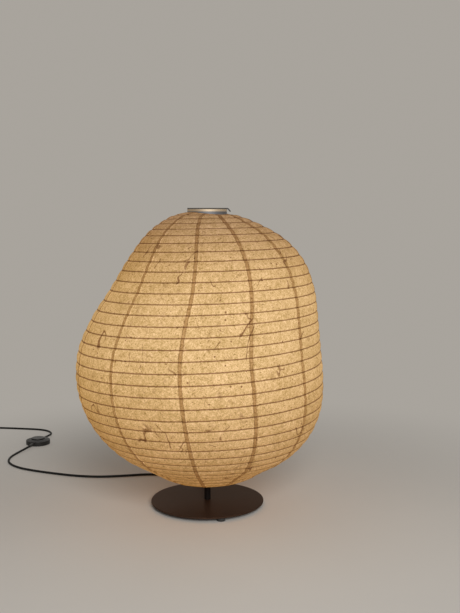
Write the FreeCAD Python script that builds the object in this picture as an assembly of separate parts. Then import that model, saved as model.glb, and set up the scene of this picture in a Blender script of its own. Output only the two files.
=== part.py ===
import FreeCAD, Part
import math
import os

from FreeCAD import Vector

# Paper lantern floor lamp, in millimetres.
# Origin: on the floor under the axis of the stem. +Z up, the front of the lamp faces -Y.

UP = Vector(0, 0, 1)
AXIS_X = Vector(1, 0, 0)
AXIS_Y = Vector(0, 1, 0)
ORIGIN = Vector(0, 0, 0)

# ------------------------------------------------------------------ clearances
running_clearance = 0.3
seat_clearance = 0.1
thread_clearance = 0.05

# ------------------------------------------------------------------ base
plate_radius = 134.0
plate_thickness = 4.0
plate_edge_round = 1.2
foot_height = 8.0
foot_radius = 10.0
foot_circle_radius = 122.0
foot_count = 3
first_foot_angle = -74.0
foot_edge_round = 1.5
foot_screw_radius = 2.0
foot_screw_head_radius = 4.0
foot_screw_head_height = 2.5
foot_screw_recess = 4.5
foot_screw_bite = 3.0
nipple_radius = 5.0
nipple_bore_radius = 3.5
nipple_end = 0.5
base_nut_across_flats = 14.0
base_nut_height = 5.0
base_washer_radius = 12.0
base_washer_thickness = 1.5

# ------------------------------------------------------------------ stem
stem_radius = 7.5
stem_wall = 1.2
stem_length = 296.0
bushing_length = 12.0
cord_exit_above_plate = 17.0

# ------------------------------------------------------------------ mains cord
cord_diameter = 6.0
core_diameter = 2.2
core_spacing = 2.8
relief_neck_radius = 4.0
relief_flange_radius = 6.0
relief_flange_thickness = 2.0
relief_root_radius = 5.2
relief_tip_radius = 3.5
relief_length = 26.0

# ------------------------------------------------------------------ lampholder
holder_cap_radius = 19.5
holder_cap_height = 18.0
holder_cap_wall = 2.5
holder_body_radius = 19.0
holder_body_height = 40.0
holder_body_wall = 4.0
holder_lip_width = 2.0
holder_lip_height = 2.0
insert_height = 8.0
terminal_offset = 9.0
screw_shell_bore_radius = 13.4
screw_shell_wall = 0.6
screw_shell_height = 22.0
contact_radius = 4.0
contact_thickness = 1.5
shade_nut_radius = 27.0
shade_nut_height = 7.0
shade_nut_level = 30.0
grip_count = 24
grip_depth = 0.8

# ------------------------------------------------------------------ bulb
bulb_radius = 30.0
bulb_glass_wall = 1.0
bulb_centre_above_tip = 72.0
bulb_shoulder_angle = 35.0
bulb_cap_radius = 13.1
bulb_cap_wall = 0.5
bulb_cap_height = 20.0
bulb_tip_radius = 4.5
bulb_tip_thickness = 1.5
bulb_insulator_height = 3.8
bulb_insulator_radius = 11.0

# ------------------------------------------------------------------ paper shade
# Each row is one level circle of the shade: its height above the shade's lower edge,
# its radius, and how far its centre lies to the right of the stem.
shade_bottom = 62.0
shade_levels = [
    (0.0, 50.0, 0.0),
    (11.0, 101.0, 1.0),
    (38.0, 149.0, 0.0),
    (73.0, 207.0, -1.0),
    (118.0, 250.0, -5.0),
    (178.0, 280.0, -11.0),
    (248.0, 290.0, -17.0),
    (318.0, 284.0, -17.0),
    (388.0, 266.0, -5.0),
    (458.0, 239.0, 13.0),
    (528.0, 204.0, 20.0),
    (578.0, 162.0, 14.0),
    (610.0, 114.0, 3.0),
    (628.0, 74.0, -3.0),
    (636.0, 47.0, 0.0),
]
paper_thickness = 0.8
seam_angles = [-96.0, -65.5, -36.5, -6.0, 24.0, 54.0, 84.0, 114.0, 144.0, 173.0, 202.0, 231.5]
seam_sway = -7.0
panel_rows = 37
panel_columns = 5
top_hoop_height = 14.0
bottom_hoop_height = 10.0
hoop_wall = 2.5
hoop_above_paper = 7.0
rib_width = 2.4
rib_thickness = 1.4
rib_gap = 0.5
rib_pitch = 24.8
rib_points_per_turn = 24
rib_lean = 12.0
rib_start = 3.3
rib_end_margin = 8.0

# ------------------------------------------------------------------ stretcher
wire_radius = 1.5
wire_bend_radius = 4.0
upright_offset = 38.0
hook_gap = 0.2
hook_inset = 1.5
top_bar_overhang = 2.2
top_bar_tip_reach = 6.3
top_bar_tip_drop = 7.2
carrier_thickness = 1.5
carrier_rim = 7.4
carrier_arm_width = 7.0
carrier_eye_radius = 5.0

# ------------------------------------------------------------------ foot switch
switch_centre = Vector(-526.0, 556.5, 0)
switch_heading = 77.0
switch_radius = 35.5
switch_wall = 2.0
switch_pad_height = 1.0
switch_pad_radius = 4.0
switch_half_height = 6.5
switch_side_height = 5.6
switch_top_height = 9.0
switch_crown_radius = 25.0
switch_edge_round = 1.5
switch_screw_circle = 27.5
switch_screw_radius = 1.3
switch_screw_head_radius = 2.6
switch_screw_head_height = 1.4
switch_screw_recess = 1.6
switch_screw_end_gap = 1.0
switch_boss_radius = 3.4
switch_fixing_count = 3
first_fixing_angle = 30.0
button_radius = 19.5
button_flange = 2.0
button_flange_thickness = 1.6
button_proud = 3.2
button_roof = 2.0
button_edge_round = 1.2
button_skirt_wall = 1.6
button_travel = 2.5
pressed_button_gap = 2.1
contact_block_length = 24.0
contact_block_width = 15.0
spring_radius = 6.0
spring_wire_radius = 0.4
spring_turns = 5
switch_relief_lip = 4.4
switch_relief_lip_length = 2.0
switch_relief_neck = 3.6
switch_relief_root = 4.8

# ------------------------------------------------------------------ coil, tie and plug
coil_centre = Vector(-742.0, 712.0, 0)
coil_mid_radius = 33.0
coil_turns_across = 2
coil_turns_high = 2
tie_width = 9.0
tie_thickness = 1.2
tie_slack = 0.5
tie_angle = -52.0
plug_tail = 44.0
plug_length = 34.0
plug_width = 27.0
plug_thickness = 14.0
plug_nose_width = 31.0
plug_corner_round = 3.0
plug_relief_length = 21.0
pin_radius = 2.0
pin_length = 19.0
pin_spacing = 19.0

# ------------------------------------------------------------------ places worked out
plate_bottom = foot_height
plate_top = plate_bottom + plate_thickness
stem_bottom = plate_top
stem_top = stem_bottom + stem_length
stem_bore_radius = stem_radius - stem_wall
cord_exit_height = plate_top + cord_exit_above_plate
holder_bottom = stem_top
holder_body_bottom = holder_bottom + holder_cap_height
holder_top = holder_body_bottom + holder_body_height
holder_bore_radius = holder_body_radius - holder_body_wall
insert_bottom = holder_body_bottom + holder_lip_height
insert_top = insert_bottom + insert_height
lower_nut_bottom = holder_bottom + shade_nut_level
carrier_bottom = lower_nut_bottom + shade_nut_height
upper_nut_bottom = carrier_bottom + carrier_thickness + running_clearance
bulb_tip_bottom = insert_top + contact_thickness + seat_clearance
cord_radius = cord_diameter / 2
core_radius = core_diameter / 2
switch_bottom = switch_pad_height
switch_split = switch_bottom + switch_half_height
coil_outer_radius = coil_mid_radius + coil_turns_across * cord_radius
coil_inner_radius = coil_mid_radius - coil_turns_across * cord_radius
coil_height = coil_turns_high * cord_diameter
relief_reach = seat_clearance + relief_flange_thickness + relief_length
relief_tip = Vector(0, stem_radius + relief_reach, cord_exit_height)
switch_relief_tip = switch_radius + relief_length - relief_flange_thickness

# ------------------------------------------------------------------ cord routes
# The routes lie on the floor, so their height there is half the cord.
on_floor = cord_radius
switch_direction = Vector(math.cos(math.radians(switch_heading)), math.sin(math.radians(switch_heading)), 0)
switch_entry = switch_centre - switch_direction * switch_relief_tip + UP * switch_split
switch_exit = switch_centre + switch_direction * switch_relief_tip + UP * switch_split

lamp_route = [
    relief_tip,
    Vector(0, 54, 29),
    Vector(-2, 78, 29.5),
    Vector(-8, 106, 28),
    Vector(-18, 136, 24.5),
    Vector(-33, 164, 15),
    Vector(-54, 188, 6),
    Vector(-83, 210, on_floor),
    Vector(-122, 228, on_floor),
    Vector(-168, 232, on_floor),
    Vector(-222, 219, on_floor),
    Vector(-288, 208, on_floor),
    Vector(-352, 217, on_floor),
    Vector(-412, 238, on_floor),
    Vector(-468, 262, on_floor),
    Vector(-513, 286, on_floor),
    Vector(-547, 318, on_floor),
    Vector(-567, 355, on_floor),
    Vector(-571, 398, on_floor),
    Vector(-565, 430, on_floor),
    Vector(-555, 456, 5),
    switch_entry - switch_direction * 20,
    switch_entry,
]

coil_entry = coil_centre + Vector(0, coil_mid_radius, on_floor)
wall_route = [
    switch_exit,
    switch_exit + switch_direction * 20,
    Vector(-507, 656, 4.4),
    Vector(-511.5, 680, on_floor),
    Vector(-523, 702, on_floor),
    Vector(-542.5, 718, on_floor),
    Vector(-568, 727.5, on_floor),
    Vector(-604, 733.5, on_floor),
    Vector(-650, 740, on_floor),
    Vector(-690, 744.2, on_floor),
    coil_entry + AXIS_X * 30,
    coil_entry,
]

plug_axis_height = plug_thickness / 2
tail_start = coil_centre + Vector(-coil_mid_radius, 0, coil_height - cord_radius)
plug_relief_tip = Vector(tail_start.x, tail_start.y - plug_tail, plug_axis_height)
tail_route = [
    tail_start,
    tail_start - AXIS_Y * 14,
    plug_relief_tip + AXIS_Y * 14,
    plug_relief_tip,
]


# ------------------------------------------------------------------ building helpers
def save(shape, node):
    shape.exportStep("parts/" + node + ".step")


def disc(radius, bottom, top):
    return Part.makeCylinder(radius, top - bottom, Vector(0, 0, bottom))


def ring(outer, inner, bottom, top):
    return disc(outer, bottom, top).cut(disc(inner, bottom, top))


def rod(start, end, radius):
    span = end - start
    return Part.makeCylinder(radius, span.Length, start, span)


def cone(start, end, start_radius, end_radius):
    span = end - start
    return Part.makeCone(start_radius, end_radius, span.Length, start, span)


def block(low, high):
    size = high - low
    return Part.makeBox(size.x, size.y, size.z, low)


def polar(radius, degrees, height=0.0):
    angle = math.radians(degrees)
    return Vector(radius * math.cos(angle), radius * math.sin(angle), height)


def hexagon(across_flats, bottom, top):
    corner = across_flats / 2 / math.cos(math.radians(30))
    points = [polar(corner, 60 * i, bottom) for i in range(7)]
    return Part.Face(Part.makePolygon(points)).extrude(UP * (top - bottom))


def turned(outline):
    """A solid turned about the Z axis from (radius, height) corners."""
    points = [Vector(radius, 0, height) for radius, height in outline]
    points.append(points[0])
    return Part.Face(Part.makePolygon(points)).revolve(ORIGIN, UP, 360)


def edges_at(shape, height, radius):
    """The round edges of a shape at one height and one radius."""
    found = []
    for edge in shape.Edges:
        if not isinstance(edge.Curve, Part.Circle):
            continue
        if abs(edge.Curve.Center.z - height) < 1e-4 and abs(edge.Curve.Radius - radius) < 1e-4:
            found.append(edge)
    return found


def softened(shape, size, places):
    """Rounds the round edges at the given (height, radius) places."""
    edges = [edge for height, radius in places for edge in edges_at(shape, height, radius)]
    return shape.makeFillet(size, edges)


def bent_path(points, bend_radius=None):
    """Straight runs joined by tangent arcs. Without a set radius each arc is as large as its runs allow."""
    edges = []
    radii = []
    here = points[0]
    for before, corner, after in zip(points, points[1:], points[2:]):
        into = corner - before
        away = after - corner
        half_turn = into.getAngle(away) / 2
        reach = 0.45 * min(into.Length, away.Length)
        radius = reach / math.tan(half_turn)
        if bend_radius:
            radius = bend_radius
            reach = radius * math.tan(half_turn)
        into_unit = into.normalize()
        away_unit = away.normalize()
        arc_start = corner - into_unit * reach
        arc_end = corner + away_unit * reach
        inward = (away_unit - into_unit).normalize()
        middle = corner + inward * (radius / math.cos(half_turn) - radius)
        edges.append(Part.LineSegment(here, arc_start).toShape())
        edges.append(Part.Arc(arc_start, middle, arc_end).toShape())
        radii.append(radius)
        here = arc_end
    edges.append(Part.LineSegment(here, points[-1]).toShape())
    return Part.Wire(edges), radii


def swept(points, radius, bend_radius=None):
    """A round rod along bent_path, with its path and the arc radii."""
    path, radii = bent_path(points, bend_radius)
    section = Part.Wire(Part.makeCircle(radius, points[0], points[1] - points[0]))
    return path.makePipeShell([section], True, True), path, radii


def cord_tube(points, node):
    """One stretch of the mains cord. Prints its arc radii and how its volume fits its length."""
    tube, path, radii = swept(points, cord_radius)
    expected = math.pi * cord_radius**2 * path.Length
    print(node, "length %.0f" % path.Length, "volume ratio %.4f" % (tube.Volume / expected))
    print("  arc radii", " ".join("%.0f" % radius for radius in radii))
    return tube


def closed_solid(faces):
    """The solid that a closed set of faces bounds."""
    shell = Part.makeShell(faces)
    shell.sewShape()
    solid = Part.Solid(shell.Shells[0])
    if solid.Volume < 0:
        solid.reverse()
    return solid


def half_turns(ends, rod_radius):
    """A round rod that winds as half circles, from each end point to the next on the other side."""
    faces = []
    for start, end in zip(ends, ends[1:]):
        rightward = end - start if end.x > start.x else start - end
        axis = rightward.cross(AXIS_Y).normalize()
        section = Part.makeCircle(rod_radius, start, AXIS_Y)
        faces.extend(section.revolve((start + end) / 2, axis, 180).Faces)
    for end in (ends[0], ends[-1]):
        cap = Part.Wire(Part.makeCircle(rod_radius, end, AXIS_Y))
        faces.append(Part.Face(cap))
    return closed_solid(faces)


# ------------------------------------------------------------------ base and stem
def foot_places():
    step = 360.0 / foot_count
    return [polar(foot_circle_radius, first_foot_angle + step * i) for i in range(foot_count)]


def make_base_plate():
    plate = disc(plate_radius, plate_bottom, plate_top)
    plate = softened(plate, plate_edge_round, [(plate_top, plate_radius), (plate_bottom, plate_radius)])
    holes = [disc(nipple_radius + seat_clearance, plate_bottom, plate_top)]
    for place in foot_places():
        pilot = disc(foot_screw_radius + thread_clearance, plate_bottom, plate_bottom + foot_screw_bite)
        holes.append(pilot.translate(place))
    return plate.cut(holes)


def make_base_feet():
    foot = disc(foot_radius, 0, foot_height)
    foot = softened(foot, foot_edge_round, [(0, foot_radius)])
    foot = foot.cut(disc(foot_screw_head_radius + running_clearance, 0, foot_screw_recess))
    foot = foot.cut(disc(foot_screw_radius + seat_clearance, foot_screw_recess, foot_height))
    return Part.makeCompound([foot.translated(place) for place in foot_places()])


def make_foot_screws():
    head_bottom = foot_screw_recess - foot_screw_head_height
    screw = disc(foot_screw_head_radius, head_bottom, foot_screw_recess)
    screw = softened(screw, foot_screw_head_height / 3, [(head_bottom, foot_screw_head_radius)])
    screw = screw.fuse(disc(foot_screw_radius, foot_screw_recess, plate_bottom + foot_screw_bite))
    return Part.makeCompound([screw.translated(place) for place in foot_places()])


def make_base_washer():
    washer_bottom = plate_bottom - base_washer_thickness
    return ring(base_washer_radius, nipple_radius + seat_clearance, washer_bottom, plate_bottom)


def make_base_nut():
    top = plate_bottom - base_washer_thickness
    bottom = top - base_nut_height
    bore = disc(nipple_radius + thread_clearance, bottom, top)
    return hexagon(base_nut_across_flats, bottom, top).cut(bore)


def make_nipples():
    lower_bottom = plate_bottom - base_washer_thickness - base_nut_height - nipple_end
    lower = ring(nipple_radius, nipple_bore_radius, lower_bottom, stem_bottom + bushing_length)
    upper_top = holder_bottom + holder_cap_height / 2
    upper = ring(nipple_radius, nipple_bore_radius, stem_top - bushing_length, upper_top)
    return Part.makeCompound([lower, upper])


def make_stem_bushings():
    outer = stem_bore_radius - thread_clearance
    inner = nipple_radius + thread_clearance
    lower = ring(outer, inner, stem_bottom, stem_bottom + bushing_length)
    upper = ring(outer, inner, stem_top - bushing_length, stem_top)
    return Part.makeCompound([lower, upper])


def make_stem():
    tube = ring(stem_radius, stem_bore_radius, stem_bottom, stem_top)
    centre = Vector(0, 0, cord_exit_height)
    hole = rod(centre, centre + AXIS_Y * (2 * stem_radius), relief_neck_radius + thread_clearance)
    return tube.cut(hole)


def core_offsets():
    return [-core_spacing / 2, core_spacing / 2]


def make_stem_relief():
    """Tapered sleeve that leads the cord out of the back of the stem."""
    inner_end = Vector(0, stem_bore_radius - relief_flange_thickness, cord_exit_height)
    flange_start = Vector(0, stem_radius + seat_clearance, cord_exit_height)
    flange_end = flange_start + AXIS_Y * relief_flange_thickness
    relief = rod(inner_end, flange_start, relief_neck_radius)
    relief = relief.fuse(rod(flange_start, flange_end, relief_flange_radius))
    relief = relief.fuse(cone(flange_end, relief_tip, relief_root_radius, relief_tip_radius))
    for offset in core_offsets():
        side = AXIS_X * offset
        relief = relief.cut(rod(inner_end + side, relief_tip + side, core_radius + seat_clearance))
    return relief.removeSplitter()


def make_stem_wires():
    """The two cores, from the relief up the stem to the lampholder's terminals."""
    wires = []
    for offset in core_offsets():
        sign = math.copysign(1, offset)
        points = [
            Vector(offset, relief_tip.y, cord_exit_height),
            Vector(offset, core_diameter * 2, cord_exit_height),
            Vector(offset, core_diameter / 3, cord_exit_height + core_diameter * 1.5),
            Vector(offset, 0, cord_exit_height + core_diameter * 5),
            Vector(offset, 0, holder_bottom + holder_cap_height * 0.7),
            Vector(sign * terminal_offset, 0, holder_bottom + holder_cap_height * 0.95),
            Vector(sign * terminal_offset, 0, insert_bottom - seat_clearance),
        ]
        wires.append(swept(points, core_radius)[0])
    return Part.makeCompound(wires)


# ------------------------------------------------------------------ lampholder
def make_holder_cap():
    cap = disc(holder_cap_radius, holder_bottom, holder_body_bottom)
    cap = softened(cap, holder_cap_wall, [(holder_bottom, holder_cap_radius)])
    cavity = disc(holder_cap_radius - holder_cap_wall, holder_bottom + holder_cap_wall, holder_body_bottom)
    hole = disc(nipple_radius + thread_clearance, holder_bottom, holder_body_bottom)
    return cap.cut([cavity, hole])


def make_holder_body():
    lip_top = holder_body_bottom + holder_lip_height
    body = ring(holder_body_radius, holder_bore_radius, holder_body_bottom, holder_top)
    lip = ring(holder_body_radius, holder_bore_radius - holder_lip_width, holder_body_bottom, lip_top)
    body = body.fuse(lip).removeSplitter()
    return softened(body, holder_body_wall / 4, [(holder_top, holder_body_radius)])


def make_holder_insert():
    return disc(holder_bore_radius - seat_clearance, insert_bottom, insert_top)


def make_screw_shell():
    outer = screw_shell_bore_radius + screw_shell_wall
    return ring(outer, screw_shell_bore_radius, insert_top, insert_top + screw_shell_height)


def make_holder_contact():
    return disc(contact_radius, insert_top, insert_top + contact_thickness)


def make_shade_nut(bottom, bore_clearance):
    """A ring nut on the outside of the lampholder, with finger grips round its rim."""
    top = bottom + shade_nut_height
    nut = ring(shade_nut_radius, holder_body_radius + bore_clearance, bottom, top)
    grip = disc(grip_depth * 1.5, bottom, top)
    grips = []
    for i in range(grip_count):
        grips.append(grip.translated(polar(shade_nut_radius + grip_depth / 2, 360.0 * i / grip_count)))
    return nut.cut(grips)


# ------------------------------------------------------------------ bulb
def glass_outline(shrink):
    """Half section of the bulb's glass, as a closed face in the XZ plane."""
    centre = bulb_tip_bottom + bulb_centre_above_tip
    angle = math.radians(bulb_shoulder_angle)
    radius = bulb_radius - shrink
    neck = bulb_cap_radius - shrink
    neck_bottom = bulb_tip_bottom + bulb_tip_thickness + bulb_insulator_height + bulb_cap_height
    shoulder = Vector(radius * math.cos(angle), 0, centre - radius * math.sin(angle))
    neck_top = shoulder + Vector(neck - shoulder.x, 0, (neck - shoulder.x) / math.tan(angle))
    top = Vector(0, 0, centre + radius)
    arc = Part.Arc(top, Vector(radius, 0, centre), shoulder).toShape()
    foot = Vector(0, 0, neck_bottom)
    rest = Part.makePolygon([shoulder, neck_top, Vector(neck, 0, neck_bottom), foot, top])
    return Part.Face(Part.Wire([arc] + rest.Edges))


def make_bulb_glass():
    outer = glass_outline(0).revolve(ORIGIN, UP, 360)
    inner = glass_outline(bulb_glass_wall).revolve(ORIGIN, UP, 360)
    return outer.cut(inner)


def make_bulb_cap():
    bottom = bulb_tip_bottom + bulb_tip_thickness + bulb_insulator_height
    return ring(bulb_cap_radius, bulb_cap_radius - bulb_cap_wall, bottom, bottom + bulb_cap_height)


def make_bulb_insulator():
    bottom = bulb_tip_bottom + bulb_tip_thickness
    top = bottom + bulb_insulator_height
    return turned([
        (0, bottom),
        (bulb_tip_radius, bottom),
        (bulb_insulator_radius, top - bulb_cap_wall),
        (bulb_cap_radius, top - bulb_cap_wall),
        (bulb_cap_radius, top),
        (0, top),
    ])


def make_bulb_contact():
    return disc(bulb_tip_radius, bulb_tip_bottom, bulb_tip_bottom + bulb_tip_thickness)


# ------------------------------------------------------------------ shade surface
def shade_profile():
    """The shade's wall as one curve through (radius, shift, height)."""
    points = [Vector(radius, shift, shade_bottom + height) for height, radius, shift in shade_levels]
    curve = Part.BSplineCurve()
    curve.interpolate(points)
    return curve


profile = shade_profile()
wall_length = profile.length()


def wall_place(distance, depth):
    """(radius, shift, height) at a distance up the wall, at a depth inside its outer face."""
    at = profile.parameterAtDistance(min(max(distance, 0.0), wall_length), profile.FirstParameter)
    point = profile.value(at)
    along = profile.tangent(at)[0]
    flat = math.hypot(along.x, along.z)
    return point.x - depth * along.z / flat, point.y, point.z + depth * along.x / flat


def shade_point(distance, degrees, depth=0.0):
    radius, shift, height = wall_place(distance, depth)
    return polar(radius, degrees, height) + AXIS_X * shift


def seam_place(index, share):
    """The angle of a seam at a share of the way up the wall. Near the top the seams sway aside."""
    turns, seam = divmod(index, len(seam_angles))
    return seam_angles[seam] + 360 * turns + seam_sway * math.sin(math.pi * share ** 4)


def make_panel(index):
    """One gore of paper between two seams, from the lower hoop to the upper one."""
    skins = []
    for depth in (0.0, paper_thickness):
        grid = []
        for row in range(panel_rows):
            share = row / (panel_rows - 1)
            seam = seam_place(index, share)
            step = (seam_place(index + 1, share) - seam) / (panel_columns - 1)
            grid.append([
                shade_point(wall_length * share, seam + step * column, depth)
                for column in range(panel_columns)
            ])
        skin = Part.BSplineSurface()
        skin.interpolate(grid)
        skins.append(skin.toShape())
    outer, inner = skins
    sides = []
    for edge in outer.Edges:
        middle = edge.valueAt((edge.FirstParameter + edge.LastParameter) / 2)
        partner = min(inner.Edges, key=lambda other: other.distToShape(Part.Vertex(middle))[0])
        sides.append(Part.makeRuledSurface(edge, partner))
    return closed_solid([outer, inner] + sides)


def hoop_radius(distance):
    return wall_place(distance, paper_thickness)[0] - seat_clearance


top_hoop_radius = hoop_radius(wall_length)
bottom_hoop_radius = hoop_radius(0.0)
top_hoop_top = shade_point(wall_length, 0).z + hoop_above_paper
top_hoop_bottom = top_hoop_top - top_hoop_height
bottom_hoop_bottom = shade_bottom - hoop_above_paper
bottom_hoop_top = bottom_hoop_bottom + bottom_hoop_height


def make_hoop(radius, bottom, top):
    hoop = ring(radius, radius - hoop_wall, bottom, top)
    return softened(hoop, hoop_wall / 4, [(top, radius), (bottom, radius)])


def rib_point(turn, across, depth):
    """A point on the spiral rib, which climbs to the right over the front."""
    degrees = 180 + 360 * turn
    distance = rib_start + rib_pitch * turn
    lean = rib_lean / 2 * math.sin(math.pi * distance / wall_length) ** 2
    distance += lean * math.cos(math.radians(degrees)) + across
    return shade_point(distance, degrees, depth)


def make_rib_turn(turn):
    """One turn of the flat rib that lies against the inside of the paper."""
    outer = paper_thickness + rib_gap
    corners = [
        (-rib_width / 2, outer),
        (rib_width / 2, outer),
        (rib_width / 2, outer + rib_thickness),
        (-rib_width / 2, outer + rib_thickness),
    ]
    lines = []
    for across, depth in corners:
        line = Part.BSplineCurve()
        line.interpolate([
            rib_point(turn + step / rib_points_per_turn, across, depth)
            for step in range(rib_points_per_turn + 1)
        ])
        lines.append(line.toShape())
    faces = [Part.makeRuledSurface(line, after) for line, after in zip(lines, lines[1:] + lines[:1])]
    for end in (turn, turn + 1):
        outline = [rib_point(end, across, depth) for across, depth in corners]
        faces.append(Part.Face(Part.makePolygon(outline + outline[:1])))
    return closed_solid(faces)


def make_rib_spiral():
    turns = int((wall_length - rib_start - rib_end_margin) / rib_pitch)
    return Part.makeCompound([make_rib_turn(turn) for turn in range(turns)])


# ------------------------------------------------------------------ stretcher
bar_height = top_hoop_top + wire_radius


def make_upright(side):
    """One upright wire. Its foot turns out under the lower hoop, and its top meets the cross bar."""
    foot_height_level = bottom_hoop_bottom - hook_gap - wire_radius
    points = [
        Vector(side * (bottom_hoop_radius - hook_inset), 0, foot_height_level),
        Vector(side * upright_offset, 0, foot_height_level),
        Vector(side * upright_offset, 0, bar_height - wire_radius),
    ]
    return swept(points, wire_radius, wire_bend_radius)[0]


def make_top_bar():
    """The wire across the top of the upper hoop, with its right end bent over at a slant."""
    right = top_hoop_radius + top_bar_overhang
    points = [
        Vector(-top_hoop_radius, 0, bar_height),
        Vector(right, 0, bar_height),
        Vector(right + top_bar_tip_reach, 0, bar_height - top_bar_tip_drop),
    ]
    return swept(points, wire_radius, wire_radius * 1.4)[0]


def make_ring_arms():
    """Short wires on the uprights that hold the hoops apart: under the upper one and over the lower one."""
    arms = []
    inner = upright_offset + wire_radius
    levels = [
        (top_hoop_bottom - wire_radius, top_hoop_radius - hoop_wall / 2),
        (bottom_hoop_top + wire_radius, bottom_hoop_radius - hoop_wall / 2),
    ]
    for height, reach in levels:
        for side in (-1, 1):
            arms.append(rod(Vector(side * inner, 0, height), Vector(side * reach, 0, height), wire_radius))
    return Part.makeCompound(arms)


def make_carrier():
    """The flat ring round the lampholder, with an arm and an eye for each upright."""
    top = carrier_bottom + carrier_thickness
    bore = holder_body_radius + running_clearance + seat_clearance
    half_width = carrier_arm_width / 2
    plate = disc(bore + carrier_rim, carrier_bottom, top)
    plate = plate.fuse(block(
        Vector(-upright_offset, -half_width, carrier_bottom),
        Vector(upright_offset, half_width, top),
    ))
    holes = [disc(bore, carrier_bottom, top)]
    for side in (-1, 1):
        place = Vector(side * upright_offset, 0, 0)
        plate = plate.fuse(disc(carrier_eye_radius, carrier_bottom, top).translate(place))
        holes.append(disc(wire_radius + thread_clearance, carrier_bottom, top).translate(place))
    return plate.cut(holes).removeSplitter()


# ------------------------------------------------------------------ foot switch
def at_switch(shape):
    """Moves a shape made about the Z axis, with the cord along X, to the foot switch's place."""
    shape.Placement = FreeCAD.Placement(switch_centre, FreeCAD.Rotation(UP, switch_heading))
    return shape


def fixing_places():
    step = 360.0 / switch_fixing_count
    return [polar(switch_screw_circle, first_fixing_angle + step * i) for i in range(switch_fixing_count)]


def cord_notches():
    """The round mouths in the switch's wall, half in each shell."""
    start = Vector(-switch_radius, 0, switch_split)
    return rod(start, start + AXIS_X * (2 * switch_radius), switch_relief_neck + seat_clearance)


switch_top = switch_split + switch_top_height
button_flange_top = switch_top - switch_wall - running_clearance
button_flange_bottom = button_flange_top - button_flange_thickness
button_top = switch_top + button_proud
block_bottom = switch_bottom + switch_wall
block_top = button_flange_bottom - button_travel - pressed_button_gap
boss_split = block_bottom + switch_wall


def make_switch_lower():
    shell = disc(switch_radius, switch_bottom, switch_split)
    shell = softened(shell, switch_edge_round, [(switch_bottom, switch_radius)])
    shell = shell.cut(disc(switch_radius - switch_wall, block_bottom, switch_split))
    recess_top = switch_bottom + switch_screw_recess
    head_bore = switch_screw_head_radius + seat_clearance
    shank_bore = switch_screw_radius + seat_clearance
    holes = [cord_notches()]
    for place in fixing_places():
        shell = shell.fuse(disc(switch_boss_radius, switch_bottom, boss_split).translate(place))
        holes.append(disc(head_bore, switch_bottom, recess_top).translate(place))
        holes.append(disc(shank_bore, recess_top, switch_split).translate(place))
    return shell.cut(holes).removeSplitter()


def crown_outline(shrink):
    """Half section of the upper shell, drawn in by the wall for its inside."""
    side_top = switch_split + switch_side_height
    return [
        (0, switch_split),
        (switch_radius - shrink, switch_split),
        (switch_radius - shrink, side_top - shrink / 2),
        (switch_crown_radius - shrink / 2, switch_top - shrink),
        (0, switch_top - shrink),
    ]


def make_switch_upper():
    side_top = switch_split + switch_side_height
    outer = turned(crown_outline(0))
    outer = softened(outer, switch_edge_round, [(side_top, switch_radius), (switch_top, switch_crown_radius)])
    shell = outer.cut(turned(crown_outline(switch_wall)))
    room = outer.fuse(disc(switch_radius, boss_split, switch_split))
    pilots = []
    for place in fixing_places():
        boss = disc(switch_boss_radius, boss_split, switch_top).translate(place)
        shell = shell.fuse(boss.common(room))
        pilots.append(disc(switch_screw_radius + thread_clearance, boss_split, side_top).translate(place))
    mouth = disc(button_radius + running_clearance, switch_split, switch_top)
    return shell.cut(pilots + [mouth, cord_notches()]).removeSplitter()


def make_button():
    """The foot button: a cup with a flange that the upper shell holds down."""
    flange_radius = button_radius + button_flange
    button = disc(button_radius, button_flange_bottom, button_top)
    button = softened(button, button_edge_round, [(button_top, button_radius)])
    button = button.fuse(disc(flange_radius, button_flange_bottom, button_flange_top))
    cavity = disc(button_radius - button_skirt_wall, button_flange_bottom, button_top - button_roof)
    return button.cut(cavity).removeSplitter()


def make_spring():
    """The return spring, from the contact block to the roof of the button."""
    bottom = block_top + seat_clearance + spring_wire_radius
    top = button_top - button_roof - seat_clearance - spring_wire_radius
    halves = 2 * spring_turns
    ends = []
    for half in range(halves + 1):
        side = -1 if half % 2 == 0 else 1
        ends.append(Vector(side * spring_radius, 0, bottom + (top - bottom) * half / halves))
    return half_turns(ends, spring_wire_radius)


def make_contact_block():
    half_length = contact_block_length / 2
    half_width = contact_block_width / 2
    return block(Vector(-half_length, -half_width, block_bottom), Vector(half_length, half_width, block_top))


def make_switch_wires():
    wires = []
    start = contact_block_length / 2
    for side in (-1, 1):
        for offset in core_offsets():
            wires.append(rod(
                Vector(side * start, offset, switch_split - core_radius),
                Vector(side * switch_relief_tip, offset, switch_split - core_radius),
                core_radius,
            ))
    return Part.makeCompound(wires)


def make_switch_relief(side):
    """Tapered sleeve on the cord, held in the switch's wall by a lip on its inside."""
    inner_face = math.sqrt((switch_radius - switch_wall) ** 2 - switch_relief_lip**2) - seat_clearance
    centre = UP * switch_split
    direction = AXIS_X * side
    lip_start = centre + direction * (inner_face - switch_relief_lip_length)
    lip_end = centre + direction * inner_face
    neck_end = centre + direction * (switch_radius + seat_clearance)
    tip = centre + direction * switch_relief_tip
    relief = rod(lip_start, lip_end, switch_relief_lip)
    relief = relief.fuse(rod(lip_end, neck_end, switch_relief_neck))
    relief = relief.fuse(cone(neck_end, tip, switch_relief_root, relief_tip_radius))
    for offset in core_offsets():
        shift = Vector(0, offset, -core_radius)
        relief = relief.cut(rod(lip_start + shift, tip + shift, core_radius + seat_clearance))
    return relief.removeSplitter()


def make_switch_screws():
    recess_top = switch_bottom + switch_screw_recess
    shank_top = switch_split + switch_side_height - switch_screw_end_gap
    screw = disc(switch_screw_head_radius, recess_top - switch_screw_head_height, recess_top)
    screw = screw.fuse(disc(switch_screw_radius, recess_top, shank_top))
    return Part.makeCompound([screw.translated(place) for place in fixing_places()])


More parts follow.
